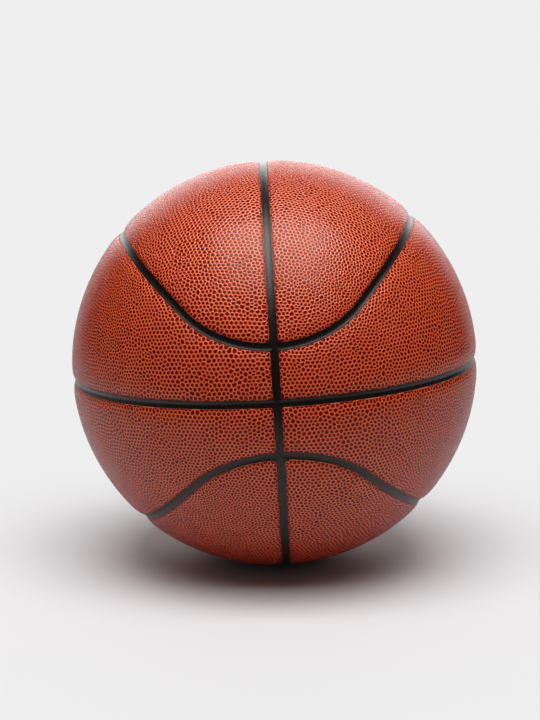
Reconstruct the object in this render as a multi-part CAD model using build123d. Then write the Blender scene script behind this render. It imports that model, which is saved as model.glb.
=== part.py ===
from build123d import *
from math import acos, asin, atan, cos, degrees, radians, sin, sqrt
import os

# A laminated basketball: cover panels between moulded rubber ribs, over a wound bladder with a valve.
# Millimetres. The origin is the ball's centre, +Z points to its upper pole and -Y to its front.

# Layers, from the outside in
ball_diameter = 240.0
panel_thickness = 2.0
carcass_wall = 1.0
winding_thickness = 0.5
bladder_wall = 0.7
bond_line = 0.15

# Layout of the bowed channels, in degrees
bow_latitude = 13.8
bow_tilt = 45.0

# Channels and the ribs that fill them
channel_width = 4.4
rib_gap = 0.1
rib_height = 0.95
rib_land = 0.35
rib_hollow = 0.35

# Panel edges and corners
shoulder_width = 6.8
shoulder_drop = 0.9
shoulder_middle_share = 0.3
shoulder_crest_share = 0.03
cap_corner_radius = 3.0
band_corner_radius = 1.4

# Place of the valve on the back, in degrees
valve_latitude = 48.0
valve_longitude = 70.0

# Valve housing
housing_diameter = 11.0
housing_length = 20.0
housing_recess = 0.4
housing_gap = 0.15
flange_diameter = 30.0
flange_thickness = 1.2

# Valve plug
plug_diameter = 6.0
plug_length = 16.0
plug_clearance = 0.08
plug_taper_length = 4.0
plug_tip_diameter = 3.2
head_diameter = 8.0
head_thickness = 1.6
head_seat_gap = 0.05
needle_bore_diameter = 2.1
needle_bore_length = 8.0
mouth_diameter = 3.4
mouth_depth = 0.8

# How far a cutting shape runs past what it cuts
overrun = 2.0

# Angles and the ball's own directions
quarter_turn = 90.0
full_turn = 360.0
centre = (0, 0, 0)
forward = (0, -1, 0)
right = (1, 0, 0)
up = (0, 0, 1)

# Radii of the layers
crown_radius = ball_diameter / 2
panel_inner_radius = crown_radius - panel_thickness
carcass_radius = panel_inner_radius - bond_line
rib_radius = carcass_radius + rib_height
carcass_inner_radius = carcass_radius - carcass_wall
winding_radius = carcass_inner_radius - bond_line
winding_inner_radius = winding_radius - winding_thickness
bladder_radius = winding_inner_radius - bond_line
bladder_inner_radius = bladder_radius - bladder_wall
flange_radius = bladder_inner_radius - bond_line

# A bowed channel has two sides on great circles, and two ends on smaller circles that meet them smoothly.
# end_polar is the angle from the pole to an end circle's axis, and end_reach from there to the channel.
tilt_sine = sin(radians(bow_tilt))
tilt_cosine = cos(radians(bow_tilt))
end_polar = degrees(atan((cos(radians(bow_latitude)) - tilt_sine) / sin(radians(bow_latitude))))
end_reach = quarter_turn - bow_latitude - end_polar
polar_sine = sin(radians(end_polar))
polar_cosine = cos(radians(end_polar))
side_half_turn = degrees(asin(polar_sine / cos(radians(end_reach))))
end_half_turn = degrees(acos(tilt_sine * polar_sine / cos(radians(end_reach))))


def stretch(axis, middle, polar, half_turn):
    """A stretch of channel: its circle's frame, its angle from the circle's axis and its turn."""
    start = middle * cos(radians(half_turn)) - axis.cross(middle) * sin(radians(half_turn))
    return Plane(centre, x_dir=start, z_dir=axis), polar, 2 * half_turn


def bow_stretches():
    """The two sides and two ends of the upper bowed channel."""
    stretches = []
    for way in (1, -1):
        side_axis = Vector(way * tilt_cosine, 0, -tilt_sine)
        side_middle = Vector(way * tilt_sine, 0, tilt_cosine)
        stretches.append(stretch(side_axis, side_middle, quarter_turn, side_half_turn))
        end_axis = Vector(0, way * polar_sine, polar_cosine)
        end_middle = Vector(0, way * polar_cosine, -polar_sine)
        stretches.append(stretch(end_axis, end_middle, end_reach, end_half_turn))
    return stretches


upright_stretches = [(Plane(centre, x_dir=forward, z_dir=right), quarter_turn, full_turn)]
equator_stretches = [(Plane(centre, x_dir=forward, z_dir=up), quarter_turn, full_turn)]


def beside(polar, offset, radius):
    """A point at a radius from the ball's centre and an offset from the middle of a channel."""
    along = sqrt(radius**2 - offset**2)
    sine = sin(radians(polar))
    cosine = cos(radians(polar))
    return Vector(along * sine + offset * cosine, 0, along * cosine - offset * sine)


def run_along(stretches, outline):
    """One solid made by turning an outline along the stretches of a channel."""
    pieces = []
    for frame, polar, turn in stretches:
        face = Face(Wire(outline(polar)))
        pieces.append(frame.location * revolve(face, Axis.Z, turn))
    first, *others = pieces
    return first.fuse(*others) if others else first


def slot_outline(low, high, width):
    """A straight-sided slot as wide as a channel."""

    def outline(polar):
        places = [(-width / 2, low), (-width / 2, high), (width / 2, high), (width / 2, low)]
        return Polyline(*[beside(polar, *place) for place in places], close=True).edges()

    return outline


def shoulder_outline(polar):
    """The space above the two rounded panel shoulders beside a channel."""
    near = channel_width / 2
    middle = near + shoulder_width / 2
    far = near + shoulder_width
    low = crown_radius - shoulder_drop
    middle_radius = crown_radius - shoulder_drop * shoulder_middle_share
    crest_radius = crown_radius + shoulder_drop * shoulder_crest_share
    high = crown_radius + overrun
    edges = [
        Line(beside(polar, -near, low), beside(polar, near, low)),
        Line(beside(polar, -far, high), beside(polar, far, high)),
    ]
    for way in (1, -1):
        foot = beside(polar, way * near, low)
        bend = beside(polar, way * middle, middle_radius)
        crest = beside(polar, way * far, crest_radius)
        edges.append(ThreePointArc(foot, bend, crest))
        edges.append(Line(crest, beside(polar, way * far, high)))
    return edges


def hollow_outline(polar):
    """The dished space in the top of a rib."""
    half = channel_width / 2 - rib_gap - rib_land
    high = rib_radius + overrun
    left_edge = beside(polar, -half, rib_radius)
    right_edge = beside(polar, half, rib_radius)
    left_top = beside(polar, -half, high)
    right_top = beside(polar, half, high)
    floor = ThreePointArc(left_edge, beside(polar, 0, rib_radius - rib_hollow), right_edge)
    return [floor, Line(right_edge, right_top), Line(right_top, left_top), Line(left_top, left_edge)]


def ball(radius):
    """A solid ball whose seam line lies along the upright channel."""
    return Rot(Z=quarter_turn) * Sphere(radius)


def shell(inner, outer):
    return ball(outer) - ball(inner)


def upper_right(setback):
    """The space to the upper right of the upright and equator channels, set back from their middles."""
    reach = 2 * crown_radius
    space = Box(reach, 2 * reach, reach, align=(Align.MIN, Align.CENTER, Align.MIN))
    return Pos(setback, 0, setback) * space


def is_corner(edge):
    """True for an edge through a panel's thickness beside the upright channel."""
    rise = abs((edge @ 0).length - (edge @ 1).length)
    return rise > panel_thickness / 2 and abs(edge.center().X) < channel_width


def field_pair(low, high, width, corner_growth):
    """The upper right fields inside and outside the bowed channel, with rounded corners."""
    quarter = shell(low, high) & upper_right(width / 2)
    slot = run_along(bow_stretches(), slot_outline(low - overrun, high + overrun, width))
    fields = (quarter - slot).solids().sort_by(Axis.Z)
    radii = (band_corner_radius, cap_corner_radius)
    rounded = []
    for field, radius in zip(fields, radii):
        corners = [edge for edge in field.edges() if is_corner(edge)]
        rounded.append(field.fillet(radius + corner_growth, corners))
    band, cap = rounded
    return {"band": band, "cap": cap}


def four_ways(piece):
    """The upper right piece and its mirror images, by place."""
    left_piece = mirror(piece, Plane.YZ)
    return {
        "upper_right": piece,
        "upper_left": left_piece,
        "lower_right": mirror(piece, Plane.XY),
        "lower_left": mirror(left_piece, Plane.XY),
    }


def make_panels():
    upright = run_along(upright_stretches, shoulder_outline)
    equator = run_along(equator_stretches, shoulder_outline)
    bow = run_along(bow_stretches(), shoulder_outline)
    panels = {}
    for kind, field in field_pair(panel_inner_radius, crown_radius, channel_width, 0).items():
        panel = field - upright - bow
        if kind == "band":
            panel -= equator
        for place, copy in four_ways(panel).items():
            panels[f"{place}_{kind}_panel"] = copy
    return panels


def make_carcass():
    """The ribbed rubber ball: one quarter, its mirror images and the hollow inside."""
    width = channel_width - 2 * rib_gap
    quarter = ball(rib_radius) & upper_right(0)
    for pocket in field_pair(carcass_radius, rib_radius + overrun, width, rib_gap).values():
        quarter -= pocket
    for stretches in (upright_stretches, equator_stretches, bow_stretches()):
        quarter -= run_along(stretches, hollow_outline)
    first, *others = four_ways(quarter).values()
    return first.fuse(*others) - ball(carcass_inner_radius)


# Valve frame: +Z points out of the ball through the valve
valve_direction = (
    cos(radians(valve_latitude)) * cos(radians(valve_longitude)),
    cos(radians(valve_latitude)) * sin(radians(valve_longitude)),
    sin(radians(valve_latitude)),
)
valve_frame = Plane(centre, z_dir=valve_direction).location
valve_top = crown_radius - housing_recess
housing_low = valve_top - housing_length


def valve_cylinder(diameter, low, high):
    return Pos(Z=low) * Cylinder(diameter / 2, high - low, align=(Align.CENTER, Align.CENTER, Align.MIN))


def make_valve_hole():
    diameter = housing_diameter + 2 * housing_gap
    return valve_frame * valve_cylinder(diameter, housing_low, crown_radius + overrun)


def make_valve_housing():
    flange = Sphere(flange_radius) - Sphere(flange_radius - flange_thickness)
    flange &= valve_cylinder(flange_diameter, housing_low, crown_radius)
    body = valve_cylinder(housing_diameter, housing_low, valve_top) + flange
    body -= valve_cylinder(plug_diameter + 2 * plug_clearance, housing_low - overrun, valve_top + overrun)
    seat = valve_top - head_thickness - head_seat_gap
    body -= valve_cylinder(head_diameter + 2 * plug_clearance, seat, valve_top + overrun)
    return valve_frame * body


def make_valve_plug():
    taper_top = valve_top - plug_length + plug_taper_length
    plug = valve_cylinder(plug_diameter, taper_top, valve_top)
    plug += valve_cylinder(head_diameter, valve_top - head_thickness, valve_top)
    taper = Cone(plug_tip_diameter / 2, plug_diameter / 2, plug_taper_length)
    plug += Pos(Z=taper_top - plug_taper_length / 2) * taper
    bore_low = valve_top - mouth_depth - needle_bore_length
    plug -= valve_cylinder(needle_bore_diameter, bore_low, valve_top + overrun)
    mouth = Cone(needle_bore_diameter / 2, mouth_diameter / 2, mouth_depth)
    plug -= Pos(Z=valve_top - mouth_depth / 2) * mouth
    return valve_frame * plug


def make_nodes():
    hole = make_valve_hole()
    nodes = make_panels()
    nodes["upper_right_cap_panel"] -= hole
    nodes["carcass"] = make_carcass() - hole
    nodes["thread_winding"] = shell(winding_inner_radius, winding_radius) - hole
    nodes["bladder"] = shell(bladder_inner_radius, bladder_radius) - hole
    nodes["valve_housing"] = make_valve_housing()
    nodes["valve_plug"] = make_valve_plug()
    return nodes


os.makedirs("parts", exist_ok=True)
for name, solid in make_nodes().items():
    export_step(solid, f"parts/{name}.step")
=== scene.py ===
import random
from math import atan, cos, radians, sin, sqrt

import bmesh
import bpy
from mathutils import Color, Matrix, Vector


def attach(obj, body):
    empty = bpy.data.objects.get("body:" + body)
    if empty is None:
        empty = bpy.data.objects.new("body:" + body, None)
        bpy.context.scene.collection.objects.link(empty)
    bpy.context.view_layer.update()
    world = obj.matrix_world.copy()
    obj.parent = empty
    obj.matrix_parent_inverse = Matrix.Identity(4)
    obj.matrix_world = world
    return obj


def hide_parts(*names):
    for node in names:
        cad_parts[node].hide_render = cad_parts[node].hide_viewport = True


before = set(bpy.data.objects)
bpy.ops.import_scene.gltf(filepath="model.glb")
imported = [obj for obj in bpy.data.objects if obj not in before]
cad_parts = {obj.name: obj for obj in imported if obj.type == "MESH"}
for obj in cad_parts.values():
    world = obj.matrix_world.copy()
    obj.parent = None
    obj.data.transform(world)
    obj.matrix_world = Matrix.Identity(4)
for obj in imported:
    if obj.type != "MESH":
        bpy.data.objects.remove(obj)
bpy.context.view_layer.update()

# A basketball with a pebbled cover in eight panels, black rubber ribs between them and a valve at the back.
# Metres. The origin is the ball's centre, +Z points to its upper pole and -Y to its front, as in the CAD.

# Ball
ball_radius = 0.120
ball_centre = Vector()
panel_inner_radius = 0.118

# Layout of the channels
channel_width = 0.0044
bow_latitude = radians(13.8)
bow_tilt = radians(45.0)
cap_corner_radius = 0.0030
band_corner_radius = 0.0014

# Panel shoulders
shoulder_width = 0.0068
shoulder_drop = 0.0009
shoulder_slope_share = 0.2

# Pebbles
pebble_divisions = 7
pebble_pitch = 0.00226
pebble_jitter_share = 0.38
pebble_relaxings = 4
pebble_relax_share = 0.5
pebble_seed = 7
pebble_height = 0.00030
pebble_dome = 0.00008
pebble_slope = 0.00048
pebble_slope_share = 0.45

# Marks that the cover's colours follow: the tip is 0 in the net between the pebbles
rim_tip = 1
crown_tip = 2
net_tone = 0.5

# Panel edges, where the outer cells are fitted to the edge line, and panel backs
edge_cell_reach = 0.00035
edge_cell_inset = 0.00015
edge_slides = 3
slide_steps_per_channel = 100
edge_matt_reach = 0.0010
cut_cell_depth = 0.0008
cut_rim_inset = 0.00006
back_facet_angle = radians(2.0)

# Valve
valve_panel = "upper_right_cap_panel"
valve_latitude = radians(48.0)
valve_longitude = radians(70.0)
valve_hole_radius = 0.00565

# Camera, as the photograph shows the ball, with the offsets in pixels
camera_distance = 0.7192
camera_azimuth = radians(-0.7)
camera_elevation = radians(10.04)
camera_lens = 59.8
picture_height = 720
ball_offset_right = 4.4
ball_offset_down = 2.5

# The photographed ball leans sideways and is pitched on its floor. Here the ball keeps its frame, and the
# studio leans and pitches round it instead. The camera's elevation is the ball's own, so it only leans.
ball_lean = radians(3.25)
ball_pitch = radians(-3.0)
lean_turn = Matrix.Rotation(ball_lean, 4, "Y")
studio = lean_turn @ Matrix.Rotation(ball_pitch, 4, "X")


# Shape of the panels

end_polar = atan((cos(bow_latitude) - sin(bow_tilt)) / sin(bow_latitude))
end_reach = radians(90) - bow_latitude - end_polar
end_axis = Vector((0, sin(end_polar), cos(end_polar)))
side_axis = Vector((cos(bow_tilt), 0, -sin(bow_tilt)))
end_side = end_axis.cross(side_axis)
valve_axis = Vector((
    cos(valve_latitude) * cos(valve_longitude),
    cos(valve_latitude) * sin(valve_longitude),
    sin(valve_latitude),
))


def fold(point):
    """The mirror image of a point in the upper right back eighth of the ball."""
    return Vector((abs(point.x), abs(point.y), abs(point.z)))


def inside_bow(point):
    """How far a folded point lies inside the middle line of the bowed channel."""
    if point.dot(end_side) > 0:
        return ball_radius * sin(end_reach - point.angle(end_axis))
    return -point.dot(side_axis)


def rounded_least(first, second, radius):
    """The smaller of two distances from an edge, with the corner between the edges rounded."""
    if first < radius and second < radius:
        return radius - sqrt((radius - first) ** 2 + (radius - second) ** 2)
    return min(first, second)


def inside_panel(point, kind, has_valve):
    """How far a point lies inside the edge of the panel of that kind around it."""
    folded = fold(point)
    half = channel_width / 2
    bow = inside_bow(folded)
    if kind == "cap":
        depth = rounded_least(folded.x - half, bow - half, cap_corner_radius)
    else:
        other = min(folded.z - half, -bow - half)
        depth = rounded_least(folded.x - half, other, band_corner_radius)
    if has_valve:
        along = point.dot(valve_axis)
        depth = min(depth, sqrt(max(point.length_squared - along**2, 0)) - valve_hole_radius)
    return depth


def panel_at(point):
    """Which panel a point belongs to."""
    level = "upper" if point.z > 0 else "lower"
    side = "right" if point.x > 0 else "left"
    kind = "cap" if inside_bow(fold(point)) > 0 else "band"
    return f"{level}_{side}_{kind}_panel"


def put_at_depth(vert, depth, kind, has_valve):
    """Slides a vertex over the ball until it lies at a depth inside the panel's edge."""
    step = channel_width / slide_steps_per_channel
    for _ in range(edge_slides):
        here = inside_panel(vert.co, kind, has_valve)
        slope = Vector()
        for axis in range(3):
            beside = vert.co.copy()
            beside[axis] += step
            beside = beside.normalized() * ball_radius
            slope[axis] = (inside_panel(beside, kind, has_valve) - here) / step
        if slope.length_squared > 0:
            moved = vert.co + slope * ((depth - here) / slope.length_squared)
            vert.co = moved.normalized() * ball_radius


def shoulder_fall(depth):
    """How far the panel's face falls below the crown at a depth inside its edge."""
    rest = 1 - min(max(depth / shoulder_width, 0), 1)
    return shoulder_drop * (shoulder_slope_share * rest + (1 - shoulder_slope_share) * rest**2)


def make_cells():
    """The whole ball divided into uneven cells, one for each pebble."""
    chance = random.Random(pebble_seed)
    reach = pebble_jitter_share * pebble_pitch
    bm = bmesh.new()
    bmesh.ops.create_icosphere(bm, subdivisions=pebble_divisions, radius=ball_radius)
    for vert in bm.verts:
        nudge = Vector([chance.uniform(-1, 1) for axis in range(3)]) * reach
        vert.co = (vert.co + nudge).normalized() * ball_radius
    for _ in range(pebble_relaxings):
        bmesh.ops.beautify_fill(bm, faces=bm.faces[:], edges=bm.edges[:], method="ANGLE")
        bmesh.ops.smooth_vert(
            bm,
            verts=bm.verts[:],
            factor=pebble_relax_share,
            use_axis_x=True,
            use_axis_y=True,
            use_axis_z=True,
        )
        for vert in bm.verts:
            vert.co = vert.co.normalized() * ball_radius
    site_count = len(bm.verts)
    ties = bm.edges[:]
    bmesh.ops.poke(bm, faces=bm.faces[:])
    bmesh.ops.subdivide_edges(bm, edges=ties, cuts=1, use_single_edge=True)
    bm.verts.ensure_lookup_table()
    bmesh.ops.dissolve_verts(bm, verts=bm.verts[:site_count])
    for vert in bm.verts:
        vert.co = vert.co.normalized() * ball_radius
    return bm


def keep_panel(cells, name, kind, has_valve):
    """A copy of the cells cut back to one panel, with the outer cells fitted to its edge."""
    bm = cells.copy()
    spare = []
    for cell in bm.faces:
        middle = cell.calc_center_median()
        if panel_at(middle) != name or inside_panel(middle, kind, has_valve) < -edge_cell_reach:
            spare.append(cell)
    bmesh.ops.delete(bm, geom=spare, context="FACES")
    for vert in bm.verts:
        if vert.is_boundary:
            put_at_depth(vert, 0, kind, has_valve)
        elif inside_panel(vert.co, kind, has_valve) < edge_cell_inset:
            put_at_depth(vert, edge_cell_inset, kind, has_valve)
    return bm


def raise_pebbles(bm, faces, depth, tip, tone):
    """Raises a domed pebble on each cell and marks its depth, its top and a tone of its own."""
    chance = random.Random(pebble_seed)
    for vert in bm.verts:
        vert[tone] = net_tone
    tops = bmesh.ops.extrude_discrete_faces(bm, faces=faces)["faces"]
    for top in tops:
        middle = top.calc_center_median()
        out = middle.normalized()
        shade = chance.random()
        is_cut = sum(vert[depth] for vert in top.verts) < cut_cell_depth * len(top.verts)
        least = min((vert.co - middle).length for vert in top.verts)
        inset = min(pebble_slope, pebble_slope_share * least)
        lift = pebble_height * inset / pebble_slope
        for vert in top.verts:
            inward = middle - vert.co
            reach = cut_rim_inset if is_cut and vert[depth] == 0 else inset
            vert.co += inward * (reach / inward.length) + out * lift
            vert[tip] = rim_tip
            vert[tone] = shade
        for rim in top.edges:
            rim.smooth = False
    crowns = bmesh.ops.poke(bm, faces=tops)["verts"]
    for crown in crowns:
        rim_verts = [edge.other_vert(crown) for edge in crown.link_edges]
        crown.co += crown.co.normalized() * pebble_dome
        crown[depth] = max(vert[depth] for vert in rim_verts)
        crown[tip] = crown_tip
        crown[tone] = rim_verts[0][tone]


def plain_back(bm, fronts):
    """Joins the cells of a panel's hidden back into larger facets."""
    in_front = {vert for face in fronts for vert in face.verts}
    inner = [edge for edge in bm.edges if not any(vert in in_front for vert in edge.verts)]
    verts = list({vert for edge in inner for vert in edge.verts})
    bmesh.ops.dissolve_limit(
        bm, angle_limit=back_facet_angle, use_dissolve_boundaries=False, verts=verts, edges=inner
    )


def make_panel(cells, name, kind):
    """One cover panel: a closed shell with a pebbled face, rounded shoulders and a plain back."""
    has_valve = name == valve_panel
    bm = keep_panel(cells, name, kind, has_valve)
    marks = [bm.verts.layers.float.new(mark) for mark in ("depth", "tip", "tone")]
    depth = marks[0]
    backs = bm.faces[:]
    raised = bmesh.ops.extrude_face_region(bm, geom=backs, use_keep_orig=True)["geom"]
    fronts = [piece for piece in raised if isinstance(piece, bmesh.types.BMFace)]
    front_verts = [piece for piece in raised if isinstance(piece, bmesh.types.BMVert)]
    for vert in front_verts:
        inside = inside_panel(vert.co, kind, has_valve)
        vert[depth] = inside if inside > edge_cell_inset / 2 else 0
        vert.co = vert.co.normalized() * (ball_radius - pebble_height - shoulder_fall(inside))
    back_verts = {vert for face in backs for vert in face.verts}
    for vert in back_verts:
        vert.co = vert.co.normalized() * panel_inner_radius
    bmesh.ops.reverse_faces(bm, faces=backs)
    bmesh.ops.dissolve_verts(bm, verts=[vert for vert in back_verts if len(vert.link_edges) == 2])
    plain_back(bm, fronts)
    front_faces = set(fronts)
    for edge in bm.edges:
        if sum(face in front_faces for face in edge.link_faces) == 1:
            edge.smooth = False
    raise_pebbles(bm, fronts, *marks)
    bmesh.ops.recalc_face_normals(bm, faces=bm.faces[:])
    return finish_piece(bm, name.replace("panel", "cover"))


def finish_piece(bm, name):
    """A smooth object from a finished mesh."""
    for face in bm.faces:
        face.smooth = True
    mesh = bpy.data.meshes.new(name)
    bm.to_mesh(mesh)
    bm.free()
    piece = bpy.data.objects.new(name, mesh)
    bpy.context.scene.collection.objects.link(piece)
    return piece


# Nodes that the materials are put together from


def new_material(name):
    """A new material with its nodes, links and shader."""
    material = bpy.data.materials.new(name)
    material.use_nodes = True
    tree = material.node_tree
    return material, tree.nodes, tree.links, tree.nodes["Principled BSDF"]


def linear(red, green, blue):
    """A colour given on a 0 to 255 scale, as the shader's linear values."""
    picked = Color((red / 255, green / 255, blue / 255))
    return (*picked.from_srgb_to_scene_linear(), 1)


noise_details = {"Cloud": 4.0, "Grain": 2.0}
noise_low = 0.3
noise_high = 0.7


def make_grain_group():
    """Cloudy tone and fine grain, which every material of the ball takes at its own scales."""
    group = bpy.data.node_groups.new("grain", "ShaderNodeTree")
    for name in noise_details:
        group.interface.new_socket(name=f"{name} Scale", in_out="INPUT", socket_type="NodeSocketFloat")
        group.interface.new_socket(name=name, in_out="OUTPUT", socket_type="NodeSocketFloat")
    nodes, links = group.nodes, group.links
    given = nodes.new("NodeGroupInput")
    result = nodes.new("NodeGroupOutput")
    place = nodes.new("ShaderNodeTexCoord")
    for name, detail in noise_details.items():
        noise = nodes.new("ShaderNodeTexNoise")
        noise.inputs["Detail"].default_value = detail
        links.new(place.outputs["Object"], noise.inputs["Vector"])
        links.new(given.outputs[f"{name} Scale"], noise.inputs["Scale"])
        spread = nodes.new("ShaderNodeMapRange")
        spread.inputs["From Min"].default_value = noise_low
        spread.inputs["From Max"].default_value = noise_high
        links.new(noise.outputs["Fac"], spread.inputs["Value"])
        links.new(spread.outputs["Result"], result.inputs[name])
    return group


grain_group = make_grain_group()


def add_grain(nodes, grain_scale, cloud_scale=0.0):
    """The grain group. A material without a cloudy tone leaves out its scale."""
    grain = nodes.new("ShaderNodeGroup")
    grain.node_tree = grain_group
    grain.inputs["Cloud Scale"].default_value = cloud_scale
    grain.inputs["Grain Scale"].default_value = grain_scale
    return grain


def add_ramp(nodes, links, value, first, second):
    """A colour between two, chosen by a value."""
    ramp = nodes.new("ShaderNodeValToRGB")
    ramp.color_ramp.elements[0].color = first
    ramp.color_ramp.elements[1].color = second
    links.new(value, ramp.inputs["Fac"])
    return ramp.outputs["Color"]


def add_step(nodes, links, value, low, high):
    """A smooth step from 0 to 1 as a value goes from low to high."""
    step = nodes.new("ShaderNodeMapRange")
    step.interpolation_type = "SMOOTHSTEP"
    step.inputs["From Min"].default_value = low
    step.inputs["From Max"].default_value = high
    links.new(value, step.inputs["Value"])
    return step.outputs["Result"]


def add_mix(nodes, links, share, first, second):
    """A mix of two colours by a share."""
    mix = nodes.new("ShaderNodeMix")
    mix.data_type = "RGBA"
    links.new(share, mix.inputs["Factor"])
    links.new(first, mix.inputs["A"])
    links.new(second, mix.inputs["B"])
    return mix.outputs["Result"]


def add_range(nodes, links, value, low, high):
    """A value from 0 to 1 spread over a new range."""
    spread = nodes.new("ShaderNodeMapRange")
    spread.inputs["To Min"].default_value = low
    spread.inputs["To Max"].default_value = high
    links.new(value, spread.inputs["Value"])
    return spread.outputs["Result"]


def add_math(nodes, links, operation, first, second):
    """One value worked out from two."""
    result = nodes.new("ShaderNodeMath")
    result.operation = operation
    links.new(first, result.inputs[0])
    links.new(second, result.inputs[1])
    return result.outputs["Value"]


def add_larger(nodes, links, first, second):
    """The larger of two values."""
    return add_math(nodes, links, "MAXIMUM", first, second)


def add_product(nodes, links, first, second):
    """Two values multiplied."""
    return add_math(nodes, links, "MULTIPLY", first, second)


def add_bump(nodes, links, shader, height, depth):
    """Fine relief on a shader, as deep as given where the height goes from 0 to 1."""
    bump = nodes.new("ShaderNodeBump")
    bump.inputs["Distance"].default_value = depth
    links.new(height, bump.inputs["Height"])
    links.new(bump.outputs["Normal"], shader.inputs["Normal"])


def add_attribute(nodes, name):
    """One of the marks on the cover's vertices."""
    attribute = nodes.new("ShaderNodeAttribute")
    attribute.attribute_name = name
    return attribute.outputs["Fac"]


def add_seen(nodes, links, path):
    """1 for rays that show a surface, also in a mirror or through glass, and 0 for rays that light it."""
    seen = path.outputs["Is Camera Ray"]
    for name in ("Is Glossy Ray", "Is Transmission Ray"):
        seen = add_larger(nodes, links, seen, path.outputs[name])
    return seen


def dress(piece, material):
    """Gives a piece one material all over."""
    piece.data.materials.clear()
    piece.data.materials.append(material)


# Cover

net_tones = (linear(224, 131, 84), linear(231, 141, 94))
# The flank colour is partly the dark tip dye fading down each pebble and partly painted shade on its slopes
flank_dye_and_shade = (linear(188, 50, 12), linear(199, 58, 16))
top_tones = (linear(77, 3, 0), linear(99, 8, 1))

# Values of the tip mark between which the colours of a flank and a top come in
flank_tip = (0.05, 0.36)
top_tip = (0.82, 1.2)

# Gloss and grain of the cover
net_roughness = 0.27
top_roughness = 0.2
edge_roughness = 0.7
net_coat = 0.6
coat_roughness = 0.26
cover_gloss = 0.27
cover_gloss_tint = linear(255, 228, 210)
cover_cloud_scale = 45.0
cover_grain_scale = 2400.0
cover_grain_depth = 0.00001


def cover_material():
    """Pebbled leather: dark tops, coated red flanks partly in painted shade, orange net and matt panel
    edges.
    """
    material, nodes, links, shader = new_material("pebbled_cover")
    tip = add_attribute(nodes, "tip")
    tone = add_attribute(nodes, "tone")
    grain = add_grain(nodes, cover_grain_scale, cover_cloud_scale)
    net = add_ramp(nodes, links, grain.outputs["Cloud"], *net_tones)
    flank = add_ramp(nodes, links, tone, *flank_dye_and_shade)
    top = add_ramp(nodes, links, tone, *top_tones)
    is_flank = add_step(nodes, links, tip, *flank_tip)
    is_top = add_step(nodes, links, tip, *top_tip)
    body = add_mix(nodes, links, is_flank, net, flank)
    links.new(add_mix(nodes, links, is_top, body, top), shader.inputs["Base Color"])
    is_inside = add_step(nodes, links, add_attribute(nodes, "depth"), 0.0, edge_matt_reach)
    face_rough = add_range(nodes, links, is_top, net_roughness, top_roughness)
    edge_rough = add_range(nodes, links, is_inside, edge_roughness, 0.0)
    links.new(add_larger(nodes, links, face_rough, edge_rough), shader.inputs["Roughness"])
    face_coat = add_range(nodes, links, is_top, net_coat, 0.0)
    links.new(add_product(nodes, links, face_coat, is_inside), shader.inputs["Coat Weight"])
    shader.inputs["Coat Roughness"].default_value = coat_roughness
    shader.inputs["Specular IOR Level"].default_value = cover_gloss
    shader.inputs["Specular Tint"].default_value = cover_gloss_tint
    add_bump(nodes, links, shader, grain.outputs["Grain"], cover_grain_depth)
    return material


cover = cover_material()
covers = []
cells = make_cells()
for level in ("upper", "lower"):
    for side in ("right", "left"):
        for kind in ("cap", "band"):
            node = f"{level}_{side}_{kind}_panel"
            panel = make_panel(cells, node, kind)
            dress(panel, cover)
            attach(panel, "ball")
            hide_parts(node)
            covers.append(panel)
cells.free()


# Rubber and thread

rubber_gloss = 0.38
rubber_gloss_tint = linear(255, 238, 232)
rubber_grain_depth = 0.00004
thread_turns = (radians(35), radians(-40))
thread_scale = 320.0
thread_wander = 1.5
thread_depth = 0.0002
thread_tones = (linear(150, 143, 128), linear(226, 220, 206))
thread_roughness = (0.7, 0.85)
thread_grain_scale = 3000.0


def rubber_material(name, tones, roughness, cloud_scale, grain_scale):
    """Satin moulded rubber with a cloudy tone and a fine grain."""
    material, nodes, links, shader = new_material(name)
    grain = add_grain(nodes, grain_scale, cloud_scale)
    links.new(add_ramp(nodes, links, grain.outputs["Cloud"], *tones), shader.inputs["Base Color"])
    rough = add_range(nodes, links, grain.outputs["Grain"], *roughness)
    links.new(rough, shader.inputs["Roughness"])
    shader.inputs["Specular IOR Level"].default_value = rubber_gloss
    shader.inputs["Specular Tint"].default_value = rubber_gloss_tint
    add_bump(nodes, links, shader, grain.outputs["Grain"], rubber_grain_depth)
    return material


def thread_material():
    """Pale thread wound both ways round the bladder."""
    material, nodes, links, shader = new_material("winding_thread")
    grain = add_grain(nodes, thread_grain_scale)
    place = nodes.new("ShaderNodeTexCoord")
    strands = []
    for turn in thread_turns:
        mapping = nodes.new("ShaderNodeMapping")
        mapping.inputs["Rotation"].default_value = (turn, turn / 2, 0)
        links.new(place.outputs["Object"], mapping.inputs["Vector"])
        wave = nodes.new("ShaderNodeTexWave")
        wave.bands_direction = "Z"
        wave.inputs["Scale"].default_value = thread_scale
        wave.inputs["Distortion"].default_value = thread_wander
        links.new(mapping.outputs["Vector"], wave.inputs["Vector"])
        strands.append(wave.outputs["Fac"])
    upper = add_larger(nodes, links, *strands)
    links.new(add_ramp(nodes, links, upper, *thread_tones), shader.inputs["Base Color"])
    rough = add_range(nodes, links, grain.outputs["Grain"], *thread_roughness)
    links.new(rough, shader.inputs["Roughness"])
    add_bump(nodes, links, shader, upper, thread_depth)
    return material


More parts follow.
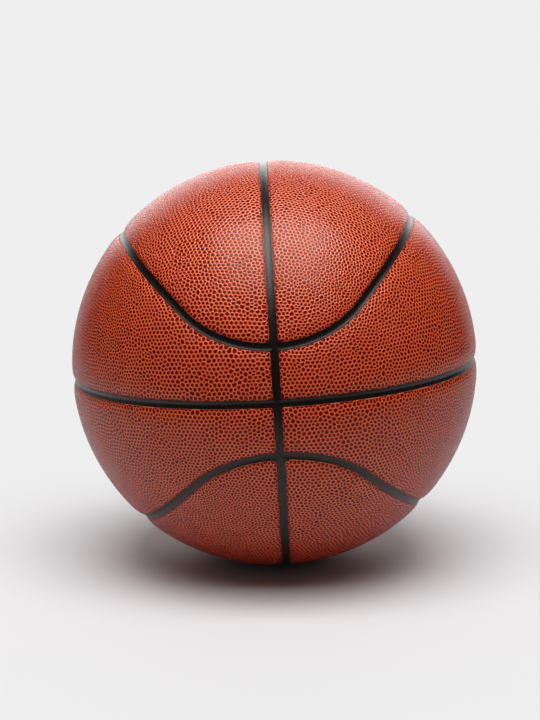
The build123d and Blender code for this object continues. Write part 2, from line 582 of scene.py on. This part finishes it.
finishes = {
    "carcass": rubber_material(
        "rib_rubber",
        tones=(linear(15, 11, 10), linear(22, 16, 15)),
        roughness=(0.27, 0.37),
        cloud_scale=300.0,
        grain_scale=1500.0,
    ),
    "valve_housing": rubber_material(
        "valve_rubber",
        tones=(linear(18, 18, 19), linear(28, 28, 29)),
        roughness=(0.4, 0.52),
        cloud_scale=500.0,
        grain_scale=2500.0,
    ),
    "valve_plug": rubber_material(
        "plug_rubber",
        tones=(linear(34, 31, 30), linear(46, 42, 40)),
        roughness=(0.34, 0.46),
        cloud_scale=700.0,
        grain_scale=3000.0,
    ),
    "bladder": rubber_material(
        "bladder_rubber",
        tones=(linear(30, 28, 27), linear(40, 37, 35)),
        roughness=(0.5, 0.65),
        cloud_scale=90.0,
        grain_scale=900.0,
    ),
    "thread_winding": thread_material(),
}
for node, finish in finishes.items():
    dress(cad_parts[node], finish)


# Sweep of paper under and behind the ball

sweep_half_size = 3.0
sweep_height = 4.0
sweep_bend = 1.2
sweep_bend_steps = 24
paper_tones = (linear(213, 212, 214), linear(217, 216, 218))
bounce_tones = (linear(198, 189, 186), linear(202, 193, 190))
paper_cloud_scale = 3.0
matt_roughness = 0.9
white_strength = 0.86

# Distances from the ball's centre over which the paper turns white, in mirrors and in the picture
mirrored_white = (0.30, 0.95)
# In the picture the white starts close to the ball: painted light over the outer part of its shadow
white_over_shadow_reach = (0.13, 0.36)


def make_sweep(floor_height):
    """A pale floor that bends up into a backdrop."""
    bm = bmesh.new()
    bmesh.ops.create_grid(bm, x_segments=1, y_segments=1, size=sweep_half_size)
    back = next(edge for edge in bm.edges if all(vert.co.y > 0 for vert in edge.verts))
    rise = bmesh.ops.extrude_edge_only(bm, edges=[back])["geom"]
    risen = [piece for piece in rise if isinstance(piece, bmesh.types.BMVert)]
    bmesh.ops.translate(bm, verts=risen, vec=(0, 0, sweep_height))
    bmesh.ops.bevel(
        bm,
        geom=[back],
        offset=sweep_bend,
        affect="EDGES",
        segments=sweep_bend_steps,
        profile=0.5,
        material=-1,
    )
    bmesh.ops.translate(bm, verts=bm.verts[:], vec=(0, 0, floor_height))
    bmesh.ops.transform(bm, verts=bm.verts[:], matrix=studio)
    return finish_piece(bm, "studio_sweep")


def sweep_material():
    """Pale paper round the ball, which turns into the plain white of the background farther away, and
    painted white over the outer part of the ball's shadow in the picture.
    """
    material, nodes, links, shader = new_material("pale_paper")
    place = nodes.new("ShaderNodeTexCoord")
    path = nodes.new("ShaderNodeLightPath")
    seen = add_seen(nodes, links, path)
    cloud = nodes.new("ShaderNodeTexNoise")
    cloud.inputs["Scale"].default_value = paper_cloud_scale
    links.new(place.outputs["Object"], cloud.inputs["Vector"])
    paper = add_ramp(nodes, links, cloud.outputs["Fac"], *paper_tones)
    bounce = add_ramp(nodes, links, cloud.outputs["Fac"], *bounce_tones)
    links.new(add_mix(nodes, links, seen, bounce, paper), shader.inputs["Base Color"])
    shader.inputs["Roughness"].default_value = matt_roughness
    shader.inputs["Specular IOR Level"].default_value = 0.0
    away = nodes.new("ShaderNodeVectorMath")
    away.operation = "LENGTH"
    links.new(place.outputs["Object"], away.inputs[0])
    mirrored_share = add_step(nodes, links, away.outputs["Value"], *mirrored_white)
    shadow_lift_share = add_step(nodes, links, away.outputs["Value"], *white_over_shadow_reach)
    mirrored = add_product(nodes, links, mirrored_share, seen)
    # Painted light: white emission, seen by the camera only, lifts the outer part of the ball's shadow on
    # the paper
    painted_lift = add_product(nodes, links, shadow_lift_share, path.outputs["Is Camera Ray"])
    white = nodes.new("ShaderNodeEmission")
    white.inputs["Strength"].default_value = white_strength
    mix = nodes.new("ShaderNodeMixShader")
    links.new(add_larger(nodes, links, mirrored, painted_lift), mix.inputs["Fac"])
    links.new(shader.outputs["BSDF"], mix.inputs[1])
    links.new(white.outputs["Emission"], mix.inputs[2])
    links.new(mix.outputs["Shader"], nodes["Material Output"].inputs["Surface"])
    return material


floor_way = studio @ Vector((0, 0, -1))
reach_down = max(vert.co.dot(floor_way) for panel in covers for vert in panel.data.vertices)
sweep = make_sweep(-reach_down)
dress(sweep, sweep_material())


# Lamps, sky and cards

key_azimuth = radians(0)
key_elevation = radians(76)
key_distance = 1.15
key_size = (1.07, 0.42)
key_power = 4.8
wide_azimuth = radians(1)
wide_elevation = radians(66)
wide_distance = 1.15
wide_size = (1.07, 0.85)
wide_power = 15.0
rim_azimuth = radians(180)
rim_elevation = radians(27)
rim_distance = 2.7
rim_size = (3.4, 1.5)
rim_power = 29.0
backdrop_lamp_place = Vector((0, 0.9, 1.7))
backdrop_lamp_aim = Vector((0, 3.0, 0.6))
backdrop_lamp_size = (3.0, 0.6)
backdrop_lamp_power = 32.0
sky_strength = 0.1
card_distance = 1.6
card_height = 2.2
card_tone = linear(20, 20, 20)
floor_card_front = 0.27
floor_card_gap = 0.004


def direction(azimuth, elevation):
    """From the ball towards a place round it: azimuth 0 is the front, and turns to the right."""
    return Vector((
        sin(azimuth) * cos(elevation),
        -cos(azimuth) * cos(elevation),
        sin(elevation),
    ))


def make_lamp(name, place, aim, size, power):
    """A flat rectangular lamp that faces the point it is aimed at."""
    lamp = bpy.data.lights.new(name, "AREA")
    lamp.shape = "RECTANGLE"
    lamp.size, lamp.size_y = size
    lamp.energy = power
    holder = bpy.data.objects.new(name, lamp)
    turn = (place - aim).to_track_quat("Z", "Y").to_matrix().to_4x4()
    holder.matrix_world = studio @ Matrix.Translation(place) @ turn
    bpy.context.scene.collection.objects.link(holder)


def make_softbox(name, azimuth, elevation, distance, size, power):
    """A lamp at a distance from the ball, which it faces."""
    make_lamp(name, direction(azimuth, elevation) * distance, ball_centre, size, power)


def make_cards(floor_height):
    """Black cards round and over the front of the studio, which keep stray reflections off the ball."""
    bm = bmesh.new()
    bmesh.ops.create_cube(bm, size=1)
    low_and_back = [face for face in bm.faces if round(face.normal.z) == -1 or round(face.normal.y) == 1]
    bmesh.ops.delete(bm, geom=low_and_back, context="FACES")
    bmesh.ops.scale(bm, verts=bm.verts[:], vec=(2 * card_distance, 2 * card_distance, card_height))
    bmesh.ops.translate(bm, verts=bm.verts[:], vec=(0, 0, floor_height + card_height / 2))
    bmesh.ops.transform(bm, verts=bm.verts[:], matrix=studio)
    return finish_piece(bm, "black_cards")


def make_floor_card(floor_height):
    """A black card on the floor in front of the picture, where the pale paper of the photograph ends."""
    bm = bmesh.new()
    bmesh.ops.create_grid(bm, x_segments=1, y_segments=1, size=card_distance)
    for vert in bm.verts:
        if vert.co.y > 0:
            vert.co.y = -floor_card_front
    bmesh.ops.translate(bm, verts=bm.verts[:], vec=(0, 0, floor_height + floor_card_gap))
    bmesh.ops.transform(bm, verts=bm.verts[:], matrix=studio)
    return finish_piece(bm, "floor_card")


def card_material():
    """Matt black card."""
    material, _, _, shader = new_material("black_card")
    shader.inputs["Base Color"].default_value = card_tone
    shader.inputs["Roughness"].default_value = matt_roughness
    return material


def make_sky():
    """A sky that is white to look at, but gives only a little light."""
    world = bpy.data.worlds.new("studio_sky")
    world.use_nodes = True
    nodes, links = world.node_tree.nodes, world.node_tree.links
    seen = add_seen(nodes, links, nodes.new("ShaderNodeLightPath"))
    strength = add_range(nodes, links, seen, sky_strength, white_strength)
    links.new(strength, nodes["Background"].inputs["Strength"])
    nodes["Background"].inputs["Color"].default_value = (1, 1, 1, 1)
    bpy.context.scene.world = world


make_softbox("key_softbox", key_azimuth, key_elevation, key_distance, key_size, key_power)
make_softbox("wide_softbox", wide_azimuth, wide_elevation, wide_distance, wide_size, wide_power)
make_softbox("rim_softbox", rim_azimuth, rim_elevation, rim_distance, rim_size, rim_power)
make_lamp("backdrop_lamp", backdrop_lamp_place, backdrop_lamp_aim, backdrop_lamp_size, backdrop_lamp_power)
make_sky()
black_card = card_material()
for card in (make_cards(-reach_down), make_floor_card(-reach_down)):
    dress(card, black_card)
    card.visible_camera = False
    card.visible_diffuse = False
    card.visible_shadow = False


# Camera


def make_camera():
    """The camera of the photograph, turned with the lean of the ball."""
    back = direction(camera_azimuth, camera_elevation)
    across = Vector((0, 0, 1)).cross(back).normalized()
    up = back.cross(across)
    data = bpy.data.cameras.new("camera")
    data.lens = camera_lens
    data.shift_x = -ball_offset_right / picture_height
    data.shift_y = ball_offset_down / picture_height
    camera = bpy.data.objects.new("camera", data)
    turn = Matrix((across, up, back)).transposed().to_4x4()
    camera.matrix_world = lean_turn @ Matrix.Translation(back * camera_distance) @ turn
    bpy.context.scene.collection.objects.link(camera)
    bpy.context.scene.camera = camera


make_camera()
bpy.context.scene.view_settings.view_transform = "Standard"
